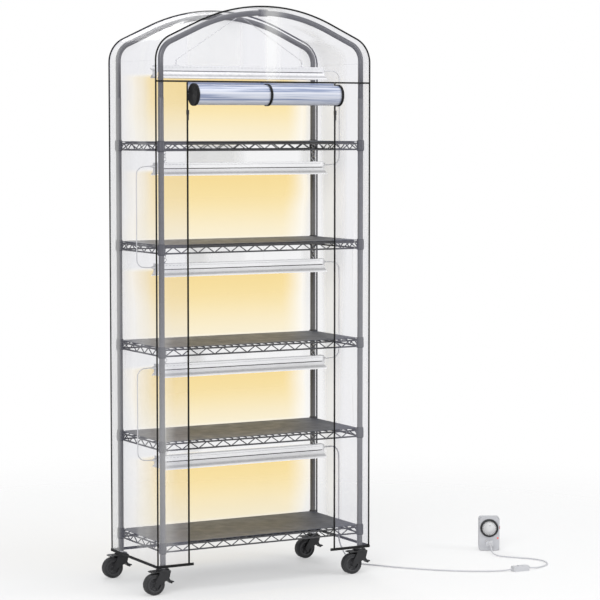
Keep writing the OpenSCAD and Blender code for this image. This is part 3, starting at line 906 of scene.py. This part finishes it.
def flat_panel(xs, low_at, high_at, y, rows, out):
    """Columns of a panel across the rack, between two heights that are functions of x.

    out is 1 or -1, the way along Y that the film may belly.
    """
    columns = []
    for i, x in enumerate(xs):
        low, high = low_at(x), high_at(x)
        column = []
        for j in range(rows + 1):
            z = low + (high - low) * j / rows
            lift = fade(i / (len(xs) - 1)) * fade(j / rows) * ripple((x, y, z), 0.19)
            column.append(Vector((x, y + out * abs(lift), z)))
        columns.append(column)
    return columns


def hem_at(x):
    """The hem's height, the same at each x."""
    return HEM_Z


def seam_at(x):
    """The height of the seam over the door, the same at each x."""
    return SEAM_Z


def make_cover():
    """Sides, roof, back, and a front that leaves the door's opening free."""
    top = over_top(SIDE_GAP, ROOF_GAP)
    finer_top = over_top(SIDE_GAP, ROOF_GAP, 2)
    bend_z = top[0].y
    for name, s in (("left", -1), ("right", 1)):
        film(f"film_{name}", [side_panel(s, bend_z)], M["film"], f"cover_{name}")
    film("film_roof", [roof_panel(finer_top)], M["film"], "cover_roof")

    inner = [p for p in top if abs(p.x) < SIDE_X - 1e-6]
    xs = [SIDE_X, *[p.x for p in inner], -SIDE_X]
    heights = [bend_z, *[p.y for p in inner], bend_z]
    height_at = dict(zip(xs, heights))
    outline = [(SIDE_X, HEM_Z), *[(p.x, p.y) for p in top], (-SIDE_X, HEM_Z)]
    edges = zip(outline, outline[1:] + outline[:1])
    full = abs(sum(a[0] * b[1] - b[0] * a[1] for a, b in edges)) / 2
    back = flat_panel(xs, hem_at, height_at.get, FACE_Y, 70, 1)
    film("film_back", [back], M["film_rear"], "cover_back")
    gable = flat_panel(xs, seam_at, height_at.get, -FACE_Y, 14, -1)
    front = [gable]
    for s in (-1, 1):
        near, far = sorted((DOOR_MID + s * DOOR_X, s * SIDE_X))
        front.append(flat_panel(steps(near, far, 8), hem_at, seam_at, -FACE_Y, 60, -1))
    film("film_front", front, M["film"], "cover_front")


def make_piping():
    """Folded binding over every outer seam, the hems, and the seam that the door hangs from."""
    build = Builder()
    top = over_top(SIDE_GAP, ROOF_GAP, 2)
    hem_z = HEM_Z + PIPE_R
    hem_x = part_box("cover_piping")[1].x - PIPE_R
    loose_end = DOOR_X - 0.012
    rising = steps(HEM_Z + 0.05, top[0].y, 12)[:-1]
    falling = steps(top[0].y, HEM_Z, 12)[1:]
    seam = [(SIDE_X, HEM_Z), *[(SIDE_X, z) for z in rising], *[(p.x, p.y) for p in top],
            *[(-SIDE_X, z) for z in falling]]
    for s in (-1, 1):
        build.tube([(x, s * PIPE_Y, z) for x, z in seam], BINDING_R, 12)
        door_end = (DOOR_MID + s * loose_end, -PIPE_Y, hem_z)
        add_hem(build, door_end, (s * SIDE_X, -PIPE_Y, hem_z))
        add_hem(build, (s * hem_x, -PIPE_Y, hem_z), (s * hem_x, PIPE_Y, hem_z))
    add_hem(build, (-SIDE_X, PIPE_Y, hem_z), (SIDE_X, PIPE_Y, hem_z))
    build.tube([(x, -PIPE_Y, SEAM_Z) for x in steps(-SIDE_X, SIDE_X, 30)], BINDING_R, 12)
    build.finish("seam_binding", M["binding"], slot="piping", instead=["cover_piping"])


def add_hem(build, start, end):
    """A hem: the binding folded round the film's edge, taller than it is thick.

    Its lower edge is PIPE_R below the line from start to end.
    """
    tall = 0.0046
    squareness = 0.7
    sides = 14
    start, end = Vector(start), Vector(end)
    along = (end - start).normalized()
    out = along.cross(Vector((0, 0, 1)))
    ring = []
    for k in range(sides):
        a = 2 * math.pi * k / sides
        c, s = math.cos(a), math.sin(a)
        up = tall * math.copysign(abs(s) ** squareness, s) + tall - PIPE_R
        ring.append(out * PIPE_R * math.copysign(abs(c) ** squareness, c) + Vector((0, 0, up)))
    spacing = 0.02
    count = max(2, round((end - start).length / spacing))
    columns = [[start.lerp(end, k / count) + r for r in ring + ring[:1]]
               for k in range(count + 1)]
    build.grid(columns)
    for k, turn in ((0, 1), (count, -1)):
        build.put([start.lerp(end, k / count) + r for r in ring], [tuple(range(sides))[::turn]])


def make_zips():
    """Two tapes down the door's edges, each with its row of teeth."""
    low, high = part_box("zips")
    face = low.y
    tape_face = face + 0.0012
    tooth_back = face + 0.0013
    tooth_pitch = 0.0042
    tooth_long = 0.0024
    tooth_half = 0.0016
    levels = steps(low.z, high.z, 60)
    for name, s in (("left", -1), ("right", 1)):
        build = Builder()
        inside, outside = sorted((DOOR_MID + s * DOOR_X, DOOR_MID + s * (DOOR_X + ZIP_W)))
        for a, b in zip(levels, levels[1:]):
            build.box((inside, tape_face, a), (outside, high.y, b))
        middle = (inside + outside) / 2
        for k in range(int((high.z - low.z) / tooth_pitch)):
            z = low.z + k * tooth_pitch
            build.box((middle - tooth_half, face, z),
                      (middle + tooth_half, tooth_back, z + tooth_long))
        build.finish(f"zip_{name}_teeth", M["zip"], slot="zip_tape",
                     instead=["zips"], smooth=False)
        refined(f"zip_slider_{name}", M["zip_metal"], "slider_" + name, 0.0004)


def roll_turns(outside, turns):
    """(y, z) points of a spiral round the roll's middle, from the seam's side inwards."""
    per_turn = 36
    points = []
    for k in range(round(turns * per_turn) + 1):
        a = 2 * math.pi * k / per_turn
        r = outside - TURN_PITCH * k / per_turn
        points.append((ROLL.y + r * math.cos(a), ROLL.z - r * math.sin(a)))
    return points


def make_tape_end(name, edge, s):
    """A zip tape rolled up in one end of the door, wound in to the middle."""
    turns = 15.6
    wide = 0.0065
    outer_r = ROLL_R - 0.0001
    inner_r = ROLL_R - 0.0020
    near, far = sorted((edge, edge + s * wide))
    outer = roll_turns(outer_r, turns)
    inner = roll_turns(inner_r, turns)
    ring = [[Vector((near, *p)) for p in outer], [Vector((far, *p)) for p in outer],
            [Vector((far, *p)) for p in inner], [Vector((near, *p)) for p in inner]]
    tape = Builder()
    tape.grid([*ring, ring[0]])
    return tape.finish(f"rolled_tape_{name}", M["zip"], slot="zip_tape")


def make_door():
    """The front door, hanging from its seam and rolled up, with the zip tapes rolled in."""
    turns = 10.4
    inset = 0.0004
    low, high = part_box("door_roll")
    spiral = roll_turns(ROLL_R - 0.0009, turns)
    columns = []
    for x in steps(low.x + inset, high.x - inset, 28):
        wobble = 0.0004 * noise.noise(Vector((x / 0.07, 0, 5)))
        column = [Vector((x, ROLL.y + ROLL_R - 0.0003, z))
                  for z in steps(SEAM_Z - 0.003, ROLL.z + 0.003, 6)]
        for y, z in spiral:
            lift = 0.0007 * noise.noise(Vector((x / 0.11, y / 0.017, z / 0.017)))
            out = Vector((0, y - ROLL.y, z - ROLL.z)).normalized()
            column.append(Vector((x + wobble, y, z)) + out * lift)
        columns.append(column)
    build = Builder()
    build.grid(columns)
    roll = build.finish("rolled_door", M["rolled"], slot="rolled_film", instead=["door_roll"])
    tapes = [make_tape_end("left", low.x, 1), make_tape_end("right", high.x, -1)]


def make_ties():
    """Woven straps round the roll, each with a loop up to the seam."""
    low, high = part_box("door_ties")
    inner_r = ROLL_R + 0.0001
    outer_r = ROLL.z - low.z
    width = 0.009
    middle = (low.x + high.x) / 2
    strap = [(inner_r, 0.0002), (outer_r - 0.0004, 0.0), (outer_r, width * 0.08),
             (outer_r, width * 0.5), (outer_r, width * 0.92), (outer_r - 0.0004, width),
             (inner_r, width - 0.0002)]
    for k, x in enumerate((low.x, middle - width / 2, high.x - width)):
        build = Builder()
        roll_at = Matrix.Translation((x, ROLL.y, ROLL.z)) @ Matrix.Rotation(math.pi / 2, 4, "Y")
        build.lathe(strap, 72, roll_at)
        for edge in (0.0012, width - 0.0018):
            stitch = [(outer_r - 0.0001, edge), (outer_r + 0.0002, edge + 0.0003),
                      (outer_r - 0.0001, edge + 0.0006)]
            build.lathe(stitch, 72, roll_at)
        build.box((x, ROLL.y + ROLL_R + 0.0002, ROLL.z), (x + width, high.y, SEAM_Z - 0.001))
        build.finish(f"door_tie_{k + 1}", M["binding"], slot="piping", instead=["door_ties"])


make_cover()
make_piping()
make_zips()
make_door()
make_ties()


# ---------- Timer ----------

def dial_frame():
    """The dial's own frame: at its foot, a little behind the timer's face, with Z outwards."""
    turn = Matrix.Rotation(TIMER_TURN, 4, "Z")
    foot = Matrix.Translation(TIMER) @ turn @ Vector((0, DIAL_SUNK, DIAL_Z))
    return Matrix.Translation(foot) @ (turn @ Matrix.Rotation(math.pi / 2, 4, "X"))


def around_dial(dial_at, k):
    """The dial's frame turned by k of the day's 96 quarter hours."""
    return dial_at @ Matrix.Rotation(2 * math.pi * k / QUARTERS, 4, "Z")


def make_dial_ring(dial_at):
    """The black ring, with a grip rib and a small tripper for each quarter hour."""
    outside = 0.031
    inside = 0.0245
    body_r = outside - 0.0004
    ring = Builder()
    ring.lathe([(inside, 0.0), (body_r, 0.0), (body_r, 0.0078), (outside - 0.003, 0.0100),
                (outside - 0.005, 0.0085), (inside, 0.0080)], QUARTERS, dial_at)
    for k in range(QUARTERS):
        turn = around_dial(dial_at, k)
        ring.box((outside - 0.0028, -0.0005, 0.001), (outside, 0.0005, 0.0074), turn)
        ring.box((outside - 0.0058, -0.0006, 0.0079), (outside - 0.0034, 0.0006, 0.0094), turn)
    ring.finish("dial_ring", M["ring"], body="dial", slot="dial", instead=["timer_dial"])


def make_dial_face(dial_at):
    """The white disc inside the ring, with a raised knob in its middle."""
    axis_r = 0.0001
    disc_r = 0.0250
    disc_h = 0.0084
    knob_r = 0.0140
    knob_h = 0.0104
    face = Builder()
    face.lathe([(axis_r, 0.0), (disc_r, 0.0), (disc_r, disc_h - 0.0004),
                (disc_r - 0.0004, disc_h), (knob_r, disc_h), (knob_r - 0.0004, 0.0100),
                (knob_r - 0.0010, knob_h), (axis_r, knob_h)], QUARTERS, dial_at, closed=False)
    face.finish("dial_face", M["face"], body="dial", slot="timer_plastic")


def make_dial_marks(dial_at):
    """A mark for each quarter hour, a longer one for each hour, and the knob's arrow."""
    low = 0.0083
    high = 0.00850
    mark_end = 0.0242
    marks = Builder()
    for k in range(QUARTERS):
        whole_hour = k % 4 == 0
        start = 0.0205 if whole_hour else 0.0228
        half = 0.00075 if whole_hour else 0.00022
        marks.box((start, -half, low), (mark_end, half, high), around_dial(dial_at, k))
    arrow = [(0.0170, -0.0022), (0.0200, 0.0), (0.0170, 0.0022)]
    arrow_back = 0.008
    tip = dial_at @ Matrix.Rotation(math.radians(80), 4, "Z")
    marks.put([tip @ Vector((x - arrow_back, y, h)) for h in (0.0103, 0.01055) for x, y in arrow],
              [(0, 2, 1), (3, 4, 5), (0, 1, 4, 3), (1, 2, 5, 4), (2, 0, 3, 5)])
    marks.finish("dial_marks", M["ink"], body="dial", slot="dial", smooth=False)


def make_timer():
    refined("timer_body", M["timer"], width=0.0016)
    refined("timer_slide", M["red"], "side_slide", 0.0006)
    refined("timer_light", M["signal"], width=0.0004)
    dial_at = dial_frame()
    make_dial_ring(dial_at)
    make_dial_face(dial_at)
    make_dial_marks(dial_at)


make_timer()


# ---------- Studio ----------

def area_light(name, place, aim, size, power, colour=(1, 1, 1)):
    """A soft box at a place, turned to face the aim; size is in metres and power in watts."""
    data = bpy.data.lights.new(name, "AREA")
    data.shape = "RECTANGLE"
    data.size, data.size_y = size
    data.energy = power
    data.color = colour
    obj = bpy.data.objects.new(name, data)
    obj.location = place
    obj.rotation_euler = (Vector(aim) - Vector(place)).to_track_quat("-Z", "Y").to_euler()
    scene.collection.objects.link(obj)


def make_world():
    """White where the camera sees it, and a dimmer white for lighting the rack."""
    world = bpy.data.worlds.new("studio")
    world.use_nodes = True
    tree = world.node_tree
    seen = tree.nodes["Background"]
    seen.inputs["Color"].default_value = (1, 1, 1, 1)
    around = tree.nodes.new("ShaderNodeBackground")
    around.inputs["Color"].default_value = (0.98, 0.99, 1, 1)
    around.inputs["Strength"].default_value = 0.50
    rays = tree.nodes.new("ShaderNodeLightPath")
    mix = tree.nodes.new("ShaderNodeMixShader")
    tree.links.new(rays.outputs["Is Camera Ray"], mix.inputs[0])
    tree.links.new(around.outputs[0], mix.inputs[1])
    tree.links.new(seen.outputs[0], mix.inputs[2])
    tree.links.new(mix.outputs[0], tree.nodes["World Output"].inputs["Surface"])
    scene.world = world


def make_lighting():
    """Large soft boxes round the rack, and a faint warm strip under each light."""
    area_light("key", (-3.6, -4.2, 3.2), (0, 0, 0.9), (2.6, 2.6), 130)
    area_light("fill", (4.0, -3.4, 2.2), (0, 0, 1.0), (2.2, 2.2), 60)
    area_light("top", (0.2, -0.8, 4.6), (0.2, 0, 0), (3.0, 3.0), 60)
    area_light("rim", (1.2, 4.2, 3.4), (0, 0, 1.2), (2.0, 1.5), 40)
    for low in LAMP_LOW:
        area_light("glow", (0, 0, low - 0.004), (0, 0, low - 1), (0.58, 0.07), 0.05,
                   (1.0, 0.82, 0.5))


def make_floor():
    half = 6.0
    floor_z = -0.0004
    floor = Builder()
    floor.grid([[Vector((x, y, floor_z)) for y in steps(-half, half, 4)]
                for x in steps(-half, half, 4)])
    mesh = bpy.data.meshes.new("floor")
    mesh.from_pydata([tuple(v) for v in floor.verts], [], floor.faces)
    mesh.materials.append(pale_floor("pale_floor"))
    obj = bpy.data.objects.new("floor", mesh)
    scene.collection.objects.link(obj)


make_world()
make_lighting()
make_floor()
scene.view_settings.view_transform = "Standard"
